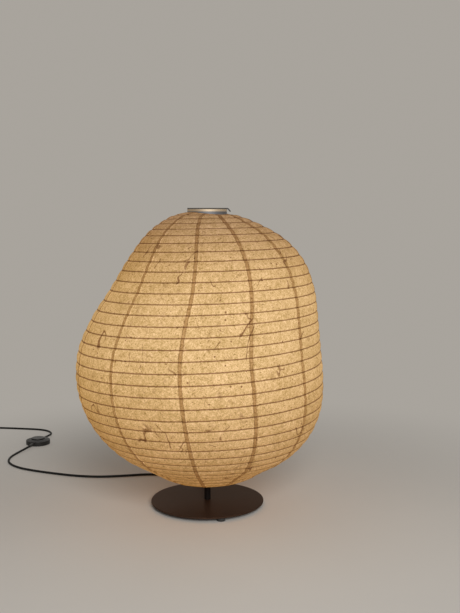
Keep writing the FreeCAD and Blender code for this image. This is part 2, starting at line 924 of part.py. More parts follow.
def make_switch_pads():
    """Rubber pads between the screws."""
    pad = disc(switch_pad_radius, 0, switch_pad_height)
    step = 360.0 / switch_fixing_count
    angles = [first_fixing_angle + step * (i + 0.5) for i in range(switch_fixing_count)]
    return Part.makeCompound([pad.translated(polar(switch_screw_circle, angle)) for angle in angles])


# ------------------------------------------------------------------ coil, tie and plug
def tie_block(margin, bottom):
    """A block across the coil's section, at the tie's place."""
    half_width = tie_width / 2
    shape = block(
        Vector(coil_inner_radius - margin, -half_width, bottom),
        Vector(coil_outer_radius + margin, half_width, coil_height + margin),
    )
    shape.Placement = FreeCAD.Placement(coil_centre, FreeCAD.Rotation(UP, tie_angle))
    return shape


def make_coil():
    """The outer shape of the coil's turns, with a groove underneath where the tie draws them in."""
    coil = ring(coil_outer_radius, coil_inner_radius, 0, coil_height)
    places = []
    for height in (0, coil_height):
        places.append((height, coil_outer_radius))
        places.append((height, coil_inner_radius))
    coil = softened(coil, cord_radius * 0.8, places).translate(coil_centre)
    groove_side = 2 * tie_slack + tie_thickness
    groove = tie_block(groove_side, 0).cut(tie_block(groove_side, tie_thickness + seat_clearance))
    return coil.cut(groove)


def make_tie():
    """A strap round the coil's section."""
    return tie_block(tie_slack + tie_thickness, 0).cut(tie_block(tie_slack, tie_thickness))


plug_back = plug_relief_tip.y - plug_relief_length
plug_front = plug_back - plug_length


def make_plug_body():
    """The plug's flat body, wider at its nose than at the cord."""
    x = plug_relief_tip.x
    corners = [
        Vector(x - plug_width / 2, plug_back, 0),
        Vector(x + plug_width / 2, plug_back, 0),
        Vector(x + plug_nose_width / 2, plug_front, 0),
        Vector(x - plug_nose_width / 2, plug_front, 0),
        Vector(x - plug_width / 2, plug_back, 0),
    ]
    body = Part.Face(Part.makePolygon(corners)).extrude(UP * plug_thickness)
    long_edges = []
    for edge in body.Edges:
        box = edge.BoundBox
        if box.YLength > plug_length / 2 or box.ZLength > plug_thickness / 2 and box.YMax > plug_back - 1:
            long_edges.append(edge)
    return body.makeFillet(plug_corner_round, long_edges)


def make_plug_pins():
    pins = []
    for side in (-1, 1):
        root = Vector(plug_relief_tip.x + side * pin_spacing / 2, plug_front, plug_axis_height)
        pin = rod(root, root - AXIS_Y * pin_length, pin_radius)
        tip_edges = [edge for edge in pin.Edges if edge.BoundBox.YMax < plug_front - pin_length / 2]
        pins.append(pin.makeFillet(pin_radius * 0.6, tip_edges))
    return Part.makeCompound(pins)


def make_plug_relief():
    root = Vector(plug_relief_tip.x, plug_back, plug_axis_height)
    return cone(root, plug_relief_tip, relief_root_radius, relief_tip_radius)


# ------------------------------------------------------------------ all nodes
def build_all():
    os.makedirs("parts", exist_ok=True)

    save(make_base_plate(), "base_plate")
    save(make_base_feet(), "base_feet")
    save(make_foot_screws(), "foot_screws")
    save(make_base_washer(), "base_washer")
    save(make_base_nut(), "base_nut")
    save(make_nipples(), "threaded_nipples")
    save(make_stem_bushings(), "stem_bushings")
    save(make_stem(), "stem")
    save(make_stem_relief(), "stem_cord_relief")
    save(make_stem_wires(), "stem_wires")

    save(make_holder_cap(), "holder_cap")
    save(make_holder_body(), "holder_body")
    save(make_holder_insert(), "holder_insert")
    save(make_screw_shell(), "holder_screw_shell")
    save(make_holder_contact(), "holder_contact")
    save(make_shade_nut(lower_nut_bottom, seat_clearance), "shade_nut_lower")
    save(make_shade_nut(upper_nut_bottom, running_clearance), "shade_nut_upper")

    save(make_bulb_glass(), "bulb_glass")
    save(make_bulb_cap(), "bulb_cap")
    save(make_bulb_insulator(), "bulb_insulator")
    save(make_bulb_contact(), "bulb_contact")

    for index in range(len(seam_angles)):
        save(make_panel(index), "paper_panel_%02d" % (index + 1))
    save(make_rib_spiral(), "rib_spiral")
    save(make_hoop(top_hoop_radius, top_hoop_bottom, top_hoop_top), "hoop_top")
    save(make_hoop(bottom_hoop_radius, bottom_hoop_bottom, bottom_hoop_top), "hoop_bottom")

    save(make_upright(-1), "stretcher_upright_left")
    save(make_upright(1), "stretcher_upright_right")
    save(make_top_bar(), "stretcher_top_bar")
    save(make_ring_arms(), "stretcher_ring_arms")
    save(make_carrier(), "stretcher_carrier")

    save(at_switch(make_switch_lower()), "switch_lower_shell")
    save(at_switch(make_switch_upper()), "switch_upper_shell")
    save(at_switch(make_button()), "switch_button")
    save(at_switch(make_spring()), "switch_spring")
    save(at_switch(make_contact_block()), "switch_contact_block")
    save(at_switch(make_switch_wires()), "switch_wires")
    save(at_switch(make_switch_relief(-1)), "switch_relief_in")
    save(at_switch(make_switch_relief(1)), "switch_relief_out")
    save(at_switch(make_switch_screws()), "switch_screws")
    save(at_switch(make_switch_pads()), "switch_pads")

    save(cord_tube(lamp_route, "cord_lamp_to_switch"), "cord_lamp_to_switch")
    save(cord_tube(wall_route, "cord_switch_to_coil"), "cord_switch_to_coil")
    save(make_coil(), "cord_coil")
    save(cord_tube(tail_route, "cord_tail"), "cord_tail")
    save(make_tie(), "coil_tie")
    save(make_plug_body(), "plug_body")
    save(make_plug_pins(), "plug_pins")
    save(make_plug_relief(), "plug_relief")

    coil_length = 2 * math.pi * coil_mid_radius * coil_turns_across * coil_turns_high
    print("coil holds about %.0f" % coil_length)
    print("shade wall %.0f, height over all %.1f" % (wall_length, bar_height + wire_radius))


build_all()
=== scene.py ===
"""Paper lantern floor lamp: its looks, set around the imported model."""

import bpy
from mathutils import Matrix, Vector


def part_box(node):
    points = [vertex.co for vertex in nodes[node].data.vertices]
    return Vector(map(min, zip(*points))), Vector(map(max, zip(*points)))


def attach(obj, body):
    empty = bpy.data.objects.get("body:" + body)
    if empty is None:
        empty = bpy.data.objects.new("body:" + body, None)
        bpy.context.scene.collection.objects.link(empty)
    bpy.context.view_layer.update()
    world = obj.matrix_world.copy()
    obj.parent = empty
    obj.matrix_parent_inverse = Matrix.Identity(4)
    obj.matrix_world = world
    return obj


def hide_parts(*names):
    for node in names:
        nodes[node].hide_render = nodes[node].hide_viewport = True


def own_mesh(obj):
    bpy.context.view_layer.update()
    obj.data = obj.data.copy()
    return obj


bl_info = {
    "name": "Paper lantern floor lamp",
    "version": (1, 0, 0),
    "blender": (4, 5, 0),
    "location": "3D View > Sidebar > Lantern",
    "description": "Dresses the lamp's parts: paper, ribs, stand, switch and cord",
    "category": "Object",
}

import math

import bmesh
import bpy
from bpy.props import FloatProperty, FloatVectorProperty, PointerProperty
from mathutils import Vector, noise

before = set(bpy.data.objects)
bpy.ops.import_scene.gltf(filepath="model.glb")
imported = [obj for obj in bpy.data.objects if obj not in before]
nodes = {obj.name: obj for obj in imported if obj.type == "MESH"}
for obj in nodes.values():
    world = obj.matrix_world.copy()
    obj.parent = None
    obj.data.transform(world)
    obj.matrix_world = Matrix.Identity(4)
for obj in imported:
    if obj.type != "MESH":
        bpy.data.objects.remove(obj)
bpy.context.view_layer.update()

# ------------------------------------------------------------------ shared sizes, in metres
MM = 0.001
WHITE = (1.0, 1.0, 1.0)

# The paper's seams, in degrees from the right, and how far they sway aside near the top.
SEAM_ANGLES = (-96, -65.5, -36.5, -6, 24, 54, 84, 114, 144, 173, 202, 231.5)
SEAM_SWAY = -7.0
SHADE_BOTTOM = 62 * MM
# Height over the lower edge, radius and sideways shift of the paper's wall, in mm.
WALL_LEVELS = (
    (0, 50, 0),
    (11, 101, 1),
    (38, 149, 0),
    (73, 207, -1),
    (118, 250, -5),
    (178, 280, -11),
    (248, 290, -17),
    (318, 284, -17),
    (388, 266, -5),
    (458, 239, 13),
    (528, 204, 20),
    (578, 162, 14),
    (610, 114, 3),
    (628, 74, -3),
    (636, 47, 0),
)
RIB_PITCH = 24.8 * MM
RIB_START = 3.3 * MM
RIB_TURNS = 34
RIB_LEAN = 12 * MM

# The gores: their mesh, how the paper sits on the ribs, and how it has slipped at the top.
ROWS_PER_RIB = 6
PANEL_COLUMNS = 16
CREASE_ANGLE = math.radians(26)
LEAST_RADIUS = 40 * MM
EDGE_FADE = 40 * MM
DRAWN_IN = 0.45 * MM
BUCKLE = 0.5 * MM
LAP_GAP = 0.1 * MM
TOP_SLIP = 5.5 * MM
TOP_SLIP_ANGLE = -38
TOP_SLIP_REACH = 34 * MM

# The steps that a gore's cut area is summed over.
CUT_STEPS = 60

# Marks on the paper, among them the rib's painted shadow and the painted highlight below it. A pair
# is the distance at which a mark begins and the one at which it is full.
RIB_SHADOW = (2.2 * MM, 0.7 * MM)
RIB_GLINT = (2.6 * MM, 0.4 * MM)
RIB_GLINT_BELOW = 3.6 * MM
SEAM_WIDTH = 8.5 * MM
SEAM_TEAR = 5.0 * MM
SEAM_FADE = 0.5 * MM
SEAM_EDGE = (1.5 * MM, 0.3 * MM)
SEAM_EDGE_IN = 0.9 * MM

# Heights between which the light behind the paper fades, and how much of it goes.
GLOW_ABOVE = (0.48, 0.75)
GLOW_BELOW = (0.42, 0.09)
GLOW_LOST_ABOVE = 0.72
GLOW_LOST_BELOW = 0.46

# Heights of the bulb's neck, where its glass is dimmer, and of the upper hoop's rim, above which a
# highlight is painted in.
BULB_NECK = (0.405, 0.366)
RIM_HEIGHT = 0.6995
RIM_FADE = 0.3 * MM

# The spare lead's coil: its section, and its path in degrees, with where it moves in, up and out.
CORD_LIFT = 3 * MM
COIL_CENTRE = Vector((-742, 712, 0)) * MM
COIL_OUTER = 36 * MM
COIL_MIDDLE = 33 * MM
COIL_INNER = 30 * MM
COIL_RISE = 6 * MM
COIL_STEP = 15.0
COIL_START, COIL_END = 90, 1260
COIL_IN = (390, 435)
COIL_UP = (690, 750)
COIL_OUT = (1000, 1050)
COIL_LEAD_IN = 32 * MM

# The strap round the coil. Its lapped end stands out by a small share of its thickness.
TIE_ANGLE = math.radians(-52)
TIE_WIDTH = 9 * MM
TIE_THICKNESS = 1.2 * MM
TIE_STEPS = 64
TIE_LAPPED = 6
TIE_SQUARENESS = 5
TIE_PROUD = 0.04
TIE_ROUNDING = 0.35 * MM

# The foot switch and the plug: where the cord meets them, and the spring under the button.
SWITCH_CENTRE = Vector((-526, 556.5, 0)) * MM
SWITCH_HEADING = math.radians(77)
SWITCH_DIRECTION = Vector((math.cos(SWITCH_HEADING), math.sin(SWITCH_HEADING), 0))
SWITCH_REACH = 59.5 * MM
SWITCH_RUN = 20 * MM
SWITCH_AXIS = 7.5 * MM
SPRING_RADIUS = 6 * MM
SPRING_WIRE = 0.8 * MM
SPRING_TURNS = 5
SPRING_STEPS = 16
SPRING_CLOSED = 0.04
PLUG_RELIEF_TIP = Vector((-775, 668, 7)) * MM

# The camera of the photo, and the stage.
CAMERA_PLACE = (0.0504, -2.0790, 0.6866)
CAMERA_DIP = 2.637
CAMERA_TURN = -0.1
CAMERA_LENS = 51.64
CAMERA_SHIFT = -0.08
LAMP_AIM = Vector((0, 0, 0.35))
FLOOR_RADIUS = 14.0
FLOOR_FADE = (0.35, 1.3)


# ------------------------------------------------------------------ settings
class LanternPaperSettings(bpy.types.PropertyGroup):
    """Sizes and colours of the paper skin."""

    puff: FloatProperty(
        name="Puff", description="How far the paper bows out between two ribs",
        default=1.7 * MM, min=0.0, max=6 * MM, unit="LENGTH")
    lap: FloatProperty(
        name="Lap", description="Width of the glued overlap at each seam",
        default=11 * MM, min=2 * MM, max=20 * MM, unit="LENGTH")
    thickness: FloatProperty(
        name="Thickness", description="Thickness of the paper",
        default=0.35 * MM, min=0.1 * MM, max=1 * MM, unit="LENGTH")
    paper_colour: FloatVectorProperty(
        name="Paper", description="Colour of the paper in plain light",
        default=(0.34, 0.262, 0.155), size=3, min=0.0, max=1.0, subtype="COLOR")
    glow_colour: FloatVectorProperty(
        name="Glow", description="Light of the bulb through the paper, at its brightest",
        default=(0.41, 0.228, 0.066), size=3, min=0.0, max=1.0, subtype="COLOR")
    rib_tint: FloatVectorProperty(
        name="Rib tint", description="What a rib behind the paper leaves of its light",
        default=(0.35, 0.25, 0.22), size=3, min=0.0, max=1.0, subtype="COLOR")
    lap_tint: FloatVectorProperty(
        name="Lap tint", description="What two layers of paper leave of the light",
        default=(0.62, 0.53, 0.43), size=3, min=0.0, max=1.0, subtype="COLOR")
    fibre_tint: FloatVectorProperty(
        name="Fibre tint", description="What a thick fibre leaves of the light",
        default=(0.36, 0.25, 0.19), size=3, min=0.0, max=1.0, subtype="COLOR")


class LanternStandSettings(bpy.types.PropertyGroup):
    """Colours of the stand."""

    plate_colour: FloatVectorProperty(
        name="Plate", description="Powder coat of the base plate",
        default=(0.057, 0.033, 0.023), size=3, min=0.0, max=1.0, subtype="COLOR")
    stem_colour: FloatVectorProperty(
        name="Stem", description="Powder coat of the stem",
        default=(0.014, 0.011, 0.010), size=3, min=0.0, max=1.0, subtype="COLOR")


class LanternCordSettings(bpy.types.PropertyGroup):
    """Sizes and colours of the mains lead."""

    diameter: FloatProperty(
        name="Diameter", description="Diameter of the cord",
        default=6 * MM, min=4 * MM, max=9 * MM, unit="LENGTH")
    sheath_colour: FloatVectorProperty(
        name="Sheath", description="Colour of the cord's sheath",
        default=(0.005, 0.0045, 0.004), size=3, min=0.0, max=1.0, subtype="COLOR")


class LanternStageSettings(bpy.types.PropertyGroup):
    """The floor and the studio light."""

    floor_colour: FloatVectorProperty(
        name="Floor", description="Colour of the floor",
        default=(0.74, 0.70, 0.645), size=3, min=0.0, max=1.0, subtype="COLOR")
    backdrop_colour: FloatVectorProperty(
        name="Backdrop", description="Colour of the backdrop and of the far floor",
        default=(0.395, 0.37, 0.335), size=3, min=0.0, max=1.0, subtype="COLOR")
    key_power: FloatProperty(
        name="Key", description="Power of the main lamp",
        default=72.0, min=0.0, unit="POWER")
    fill_power: FloatProperty(
        name="Fill", description="Power of the side lamp and of the one behind",
        default=5.0, min=0.0, unit="POWER")
    sky: FloatProperty(
        name="Sky", description="Strength of the even light from all round",
        default=0.17, min=0.0)


# ------------------------------------------------------------------ shader maths
class Wire:
    """A shader socket whose arithmetic adds the nodes that work it out."""

    def __init__(self, sheet, socket):
        self.sheet = sheet
        self.socket = socket

    def __add__(self, other):
        return self.sheet.maths("ADD", self, other)

    def __sub__(self, other):
        return self.sheet.maths("SUBTRACT", self, other)

    def __rsub__(self, other):
        return self.sheet.maths("SUBTRACT", other, self)

    def __mul__(self, other):
        return self.sheet.maths("MULTIPLY", self, other)

    def __pow__(self, other):
        return self.sheet.maths("POWER", self, other)

    def __abs__(self):
        return self.sheet.maths("ABSOLUTE", self)

    @property
    def is_vector(self):
        return self.socket.type in {"VECTOR", "RGBA"}


class Sheet:
    """The nodes of one material or of the world."""

    def __init__(self, tree):
        self.tree = tree
        tree.nodes.clear()

    def node(self, kind, settings=None, inputs=None, output=0):
        """Adds a node, sets it up, fills its sockets and returns one output."""
        made = self.tree.nodes.new(kind)
        for name, value in (settings or {}).items():
            setattr(made, name, value)
        for name, value in (inputs or {}).items():
            self.feed(made.inputs[name], value)
        return Wire(self, made.outputs[output]) if made.outputs else None

    def feed(self, socket, value):
        """Links a wire to a socket, or sets the socket to a plain value."""
        if isinstance(value, Wire):
            self.tree.links.new(value.socket, socket)
        elif socket.type == "RGBA":
            socket.default_value = (*value[:3], 1.0)
        else:
            socket.default_value = value

    def maths(self, operation, *values):
        """A Math node for numbers, or a Vector Math node where a vector or colour is among them."""
        vectors = [getattr(value, "is_vector", isinstance(value, tuple)) for value in values]
        kind = "ShaderNodeVectorMath" if any(vectors) else "ShaderNodeMath"
        if operation == "MULTIPLY" and any(vectors) and not all(vectors):
            vector, number = values if vectors[0] else values[::-1]
            return self.node(kind, {"operation": "SCALE"}, {0: vector, "Scale": number})
        return self.node(kind, {"operation": operation}, dict(enumerate(values)))

    def mix(self, factor, first, second):
        """One colour turning into another."""
        settings = {"data_type": "RGBA", "blend_type": "MIX"}
        return self.node("ShaderNodeMix", settings, {0: factor, 6: first, 7: second}, output=2)

    def step(self, value, low, high):
        """0 at low, 1 at high and smooth between. Where low is the larger, it falls instead."""
        sockets = {"Value": value, "From Min": min(low, high), "From Max": max(low, high)}
        sockets["To Min"] = 0.0 if low < high else 1.0
        sockets["To Max"] = 1.0 if low < high else 0.0
        return self.node("ShaderNodeMapRange", {"interpolation_type": "SMOOTHSTEP"}, sockets)

    def place(self):
        """The point of the piece, in metres."""
        return self.node("ShaderNodeTexCoord", output="Object")

    def part(self, vector, axis):
        return self.node("ShaderNodeSeparateXYZ", inputs={"Vector": vector}, output=axis)

    def attribute(self, name):
        return self.node("ShaderNodeAttribute", {"attribute_name": name}, output="Fac")

    def noise(self, place, scale, detail=2.0, roughness=0.5, distortion=0.0):
        return self.node("ShaderNodeTexNoise", inputs={
            "Vector": place, "Scale": scale, "Detail": detail, "Roughness": roughness,
            "Distortion": distortion,
        })

    def threads(self, place, scale, width, cover):
        """Curved hairs: lines where a noise crosses its middle, kept where another one is high."""
        hill = self.noise(place, scale, 1.5, 0.4, 0.7)
        line = self.step(abs(hill - 0.5), width * scale, width * scale * 0.5)
        patch = self.noise(place + (3.1, 7.7, 1.9), scale * 0.8, 1.0)
        return line * self.step(patch, 1.0 - cover, 1.04 - cover)

    def specks(self, place, scale, size, share):
        """Round specks of different sizes in some of the cells."""
        sockets = {"Vector": place, "Scale": scale}
        distance, cell = (
            self.node("ShaderNodeTexVoronoi", {"feature": "F1"}, sockets, output)
            for output in ("Distance", "Color"))
        chance = self.part(cell, 0)
        limit = self.step(chance, 1.0 - share, 1.0) * (size * scale)
        inside = self.step(distance - limit, 0.02, -0.02)
        return inside * self.step(chance, 0.98 - share, 1.0 - share)

    def colour(self, red, green, blue):
        """A colour from three numbers that change over the piece."""
        return self.node("ShaderNodeCombineXYZ", inputs={"X": red, "Y": green, "Z": blue})

    def bump(self, height, distance, strength):
        sockets = {"Height": height, "Distance": distance, "Strength": strength}
        return self.node("ShaderNodeBump", inputs=sockets, output="Normal")

    def surface(self, **sockets):
        """Ends the sheet in a Principled surface. Sockets are named with _ for a space."""
        named = {name.replace("_", " "): value for name, value in sockets.items()}
        shader = self.node("ShaderNodeBsdfPrincipled", inputs=named)
        self.node("ShaderNodeOutputMaterial", inputs={"Surface": shader})


# ------------------------------------------------------------------ finishes
def new_finish(name):
    """A new material and its empty sheet."""
    material = bpy.data.materials.new(name)
    material.use_nodes = True
    return material, Sheet(material.node_tree)


def shaded(colour, factor):
    """A colour made darker or lighter by a factor."""
    return [min(1.0, part * factor) for part in colour]


def paper_finish(look):
    """Mulberry paper with long fibres, lit from behind and dark over ribs and laps."""
    material, sheet = new_finish("shade_paper")
    place = sheet.place()
    height = sheet.part(place, 2)
    turn = sheet.attribute("turn")
    lap = sheet.attribute("lap")

    # A rib lies behind every whole turn, and its shadow wanders a little.
    wander = (sheet.noise(place, 55, 2.0) - 0.5) * 0.06
    past_rib = (sheet.maths("FRACT", turn + wander + 8.5) - 0.5) * RIB_PITCH
    rib = sheet.step(abs(past_rib), *RIB_SHADOW)
    # A painted highlight: a faint bright line just below each rib.
    glint_under_rib = sheet.step(abs(past_rib + RIB_GLINT_BELOW), *RIB_GLINT)

    # The lap's two torn edges, each with its own wander, and the darker line along each.
    torn, worn = (
        lap + (sheet.noise(spot, 120, 3.0, 0.7) - 0.5) * SEAM_TEAR
        for spot in (place, place + (2.0, 4.0, 6.0)))
    worn = worn - SEAM_WIDTH
    seam = sheet.step(torn, -SEAM_FADE, SEAM_FADE) * sheet.step(worn, SEAM_FADE, -SEAM_FADE)
    seam_edge = sheet.step(abs(torn - SEAM_EDGE_IN), *SEAM_EDGE) + sheet.step(
        abs(worn + SEAM_EDGE_IN), *SEAM_EDGE)

    # The paper's body, from its largest marks to its smallest, with a painted highlight just below
    # each rib.
    clouds = sheet.noise(place, 17, 3.0) - 0.5
    pulp = sheet.noise(place, 95, 5.0, 0.68) - 0.5
    flakes = sheet.noise(place, 300, 3.0, 0.65, 0.8) - 0.5
    freckles = sheet.step(sheet.noise(place + (5.0, 2.0, 8.0), 360, 2.0, 0.6, 0.6), 0.54, 0.66)
    body = clouds * 0.35 + pulp * 0.85 + flakes * 1.6 - freckles * 0.27 + glint_under_rib * 0.05 + 1.05

    # Fibres and specks that stop the light.
    curls = sheet.threads(place + (1.0, 9.0, 4.0), 64, 0.6 * MM, 0.44)
    hairs = sheet.threads(place * (1.0, 1.0, 0.55) + (8.0, 2.0, 6.0), 26, 0.9 * MM, 0.38)
    bark = sheet.threads(place * (1.0, 1.0, 0.6) + (4.0, 6.0, 1.0), 15, 1.1 * MM, 0.33)
    specks = sheet.specks(place, 170, 1.25 * MM, 0.55)
    flecks = sheet.specks(place + (3.0, 3.0, 8.0), 90, 2.3 * MM, 0.22)
    clear = (1 - curls * 0.26) * (1 - hairs * 0.75) * (1 - bark * 0.9)
    fibre = 1 - clear * (1 - specks * 0.7) * (1 - flecks * 0.9)

    tint = sheet.mix(rib * 0.92, WHITE, look.rib_tint[:])
    tint = tint * sheet.mix(seam * (clouds + 0.95), WHITE, look.lap_tint[:])
    tint = tint * sheet.mix(seam * seam_edge * 0.30, WHITE, look.rib_tint[:])
    tint = tint * sheet.mix(fibre, WHITE, look.fibre_tint[:])
    tint = tint * sheet.colour(body, body ** 1.12, body ** 1.7)

    # Away from the bulb the light is weaker and warmer.
    dim = sheet.step(height, *GLOW_ABOVE) * GLOW_LOST_ABOVE + sheet.step(
        height, *GLOW_BELOW) * GLOW_LOST_BELOW
    glow = 1 - dim
    shine = sheet.colour(glow, glow ** 1.5, glow ** 3.2) * tuple(look.glow_colour)
    relief = pulp * 0.6 + flakes * 0.3 + curls * 0.5 + hairs * 0.8
    sheet.surface(
        Base_Color=tint * tuple(look.paper_colour),
        Roughness=0.88,
        Specular_IOR_Level=0.18,
        Emission_Color=tint * shine,
        Emission_Strength=1.0,
        Normal=sheet.bump(relief, 0.35 * MM, 0.6),
    )
    return material


def powder_coat(name, colour, roughness, metallic, edge):
    """Baked powder coat: a fine orange peel, faint cloudiness and a little dust.

    edge tints what the coat mirrors at a low angle.
    """
    material, sheet = new_finish(name)
    place = sheet.place()
    clouds = sheet.noise(place, 9, 3.0)
    dust = sheet.noise(place, 240, 4.0, 0.7)
    peel = sheet.noise(place, 1500, 2.0)
    shade = sheet.mix(clouds, shaded(colour, 0.85), shaded(colour, 1.18))
    dusty = sheet.mix(sheet.step(dust, 0.62, 0.80) * 0.15, shade, (0.10, 0.085, 0.07))
    sheet.surface(
        Base_Color=dusty,
        Metallic=metallic,
        Roughness=clouds * 0.10 + dust * 0.06 + (roughness - 0.08),
        Specular_IOR_Level=0.12,
        Specular_Tint=edge,
        Normal=sheet.bump(peel, 0.05 * MM, 0.5),
    )
    return material


def moulded_plastic(name, colour, roughness):
    """Moulded plastic with a fine tool grain."""
    material, sheet = new_finish(name)
    place = sheet.place()
    clouds = sheet.noise(place, 30, 2.0)
    grain = sheet.noise(place, 2600, 1.0)
    sheet.surface(
        Base_Color=sheet.mix(clouds, shaded(colour, 0.85), shaded(colour, 1.15)),
        Roughness=clouds * 0.08 + grain * 0.06 + (roughness - 0.07),
        Normal=sheet.bump(grain, 0.03 * MM, 0.4),
    )
    return material


def rubber_finish():
    """Black rubber with a grey bloom."""
    material, sheet = new_finish("black_rubber")
    place = sheet.place()
    bloom = sheet.noise(place, 120, 4.0, 0.7)
    sheet.surface(
        Base_Color=sheet.mix(bloom, (0.012, 0.012, 0.012), (0.035, 0.034, 0.032)),
        Roughness=bloom * 0.2 + 0.65,
        Normal=sheet.bump(bloom, 0.05 * MM, 0.4),
    )
    return material


def metal_finish(name, colour, roughness):
    """Bare metal or metal with a plating, a little tarnished, with brush marks that run up and
    down.
    """
    material, sheet = new_finish(name)
    place = sheet.place()
    marks = sheet.noise(place * (900.0, 900.0, 40.0), 1.0, 3.0, 0.6)
    tarnish = sheet.noise(place, 45, 3.0)
    sheet.surface(
        Base_Color=sheet.mix(tarnish, shaded(colour, 0.82), shaded(colour, 1.1)),
        Metallic=1.0,
        Roughness=marks * 0.12 + tarnish * 0.10 + (roughness - 0.11),
        Normal=sheet.bump(marks, 0.02 * MM, 0.35),
    )
    return material


def hoop_finish():
    """Blue-grey steel strip of both hoops, with a painted highlight, a bright warm band, round the
    upper rim.
    """
    material, sheet = new_finish("top_hoop")
    place = sheet.place()
    marks = sheet.noise(place * (30.0, 30.0, 1500.0), 1.0, 3.0, 0.6)
    # A painted highlight: above this height the upper hoop gets a bright warm colour.
    rim = sheet.step(sheet.part(place, 2), RIM_HEIGHT - RIM_FADE, RIM_HEIGHT + RIM_FADE)
    strip = sheet.mix(marks, (0.16, 0.165, 0.18), (0.27, 0.275, 0.29))
    painted_highlight = sheet.mix(marks, (0.56, 0.46, 0.33), (0.70, 0.59, 0.44))
    sheet.surface(
        Base_Color=sheet.mix(rim, strip, painted_highlight),
        Metallic=1.0,
        Roughness=marks * 0.14 + 0.58,
        Normal=sheet.bump(marks, 0.02 * MM, 0.35),
    )
    return material


def lacquer_finish():
    """Dark lacquered wire with a few worn, brighter spots."""
    material, sheet = new_finish("stretcher_wire")
    place = sheet.place()
    wear = sheet.step(sheet.noise(place, 210, 4.0, 0.65), 0.62, 0.72)
    sheet.surface(
        Base_Color=sheet.mix(wear, (0.030, 0.026, 0.022), (0.16, 0.13, 0.10)),
        Metallic=wear * 0.6,
        Roughness=0.42 - wear * 0.1,
        Normal=sheet.bump(wear, -0.04 * MM, 0.5),
    )
    return material


def bamboo_finish():
    """Split bamboo: long fibres and a darker skin here and there."""
    material, sheet = new_finish("bamboo_rib")
    place = sheet.place()
    fibre = sheet.noise(place * (60.0, 60.0, 2600.0), 1.0, 3.0, 0.6)
    skin = sheet.noise(place, 40, 2.0)
    sheet.surface(
        Base_Color=sheet.mix(fibre * 0.6 + skin * 0.4, (0.24, 0.14, 0.07), (0.52, 0.36, 0.20)),
        Roughness=fibre * 0.2 + 0.5,
        Normal=sheet.bump(fibre, 0.06 * MM, 0.5),
    )
    return material


def porcelain_finish():
    """Glazed white porcelain."""
    material, sheet = new_finish("white_ceramic")
    place = sheet.place()
    clay = sheet.noise(place, 500, 4.0, 0.7)
    sheet.surface(
        Base_Color=sheet.mix(clay, (0.70, 0.68, 0.63), (0.86, 0.85, 0.81)),
        Roughness=clay * 0.2 + 0.45,
        Normal=sheet.bump(clay, 0.04 * MM, 0.4),
    )
    return material


def bulb_glass_finish():
    """Frosted glass of a lit bulb, dimmer and warmer toward its neck."""
    material, sheet = new_finish("bulb_glass")
    place = sheet.place()
    frost = sheet.noise(place, 900, 3.0, 0.6)
    neck = sheet.step(sheet.part(place, 2), *BULB_NECK)
    sheet.surface(
        Base_Color=sheet.mix(frost, (0.82, 0.80, 0.76), (0.95, 0.94, 0.91)),
        Roughness=frost * 0.15 + 0.4,
        Emission_Color=sheet.mix(neck, (1.0, 0.78, 0.48), (0.55, 0.38, 0.20)),
        Emission_Strength=5.0,
    )
    return material


def vitrite_finish():
    """Black glass round the bulb's centre contact."""
    material, sheet = new_finish("black_glass")
    place = sheet.place()
    flow = sheet.noise(place, 300, 2.0)
    sheet.surface(
        Base_Color=sheet.mix(flow, (0.010, 0.010, 0.012), (0.03, 0.03, 0.035)),
        Roughness=flow * 0.1 + 0.12,
    )
    return material


def strap_finish():
    """Woven strap: a fine weave and a soft nap."""
    material, sheet = new_finish("tie_band")
    place = sheet.place()
    weave = sheet.noise(place * (1.0, 1.0, 0.4), 2400, 1.0)
    nap = sheet.noise(place, 900, 4.0, 0.7)
    sheet.surface(
        Base_Color=sheet.mix(nap, (0.012, 0.012, 0.013), (0.045, 0.044, 0.044)),
        Roughness=nap * 0.15 + 0.75,
        Sheen_Weight=0.3,
        Normal=sheet.bump(weave + nap, 0.15 * MM, 0.6),
    )
    return material


def sheath_finish(colour):
    """Cord sheath: smooth soft plastic with a fine skin and paler scuffs."""
    material, sheet = new_finish("cord_sheath")
    place = sheet.place()
    scuff = sheet.noise(place, 130, 4.0, 0.7)
    skin = sheet.noise(place, 1400, 1.0)
    sheet.surface(
        Base_Color=sheet.mix(sheet.step(scuff, 0.45, 0.85), colour, shaded(colour, 2.6)),
        Roughness=scuff * 0.2 + 0.50,
        Specular_IOR_Level=0.25,
        Normal=sheet.bump(skin, 0.03 * MM, 0.4),
    )
    return material


# ------------------------------------------------------------------ the paper's wall
def ease(value, low, high):
    """0 below low, 1 above high and smooth between."""
    share = min(max((value - low) / (high - low), 0.0), 1.0)
    return share * share * (3 - 2 * share)


